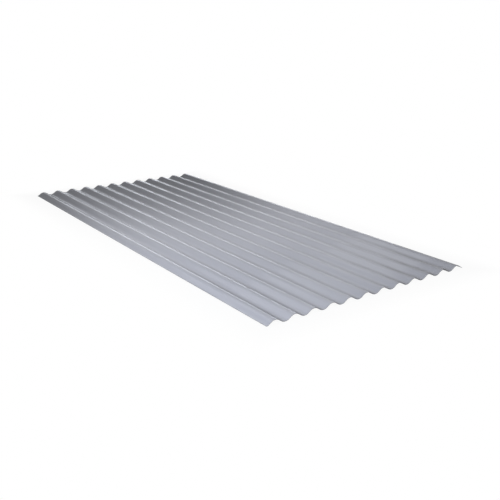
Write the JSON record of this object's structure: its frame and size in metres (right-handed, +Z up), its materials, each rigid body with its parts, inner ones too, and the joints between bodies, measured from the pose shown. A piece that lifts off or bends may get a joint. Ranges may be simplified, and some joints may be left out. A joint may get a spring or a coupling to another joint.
{
  "type": "corrugated pvc sheet",
  "caption": "Long corrugated sheet of rigid grey PVC with shallow round waves along its length, plain sawn ends and both side edges turned down.",
  "frame": {"origin": "middle of the sheet's plan, at the height of the undersides of its valleys, which it rests on", "axes": "+X across the waves, +Y along them from the end that is nearest in the picture, +Z up on the weather side"},
  "size_m": [0.9, 2, 0.016],
  "materials": {
    "grey_pvc": "satin"
  },
  "bodies": {
    "root": {"corrugated_sheet": "grey_pvc"}
  },
  "joints": []
}
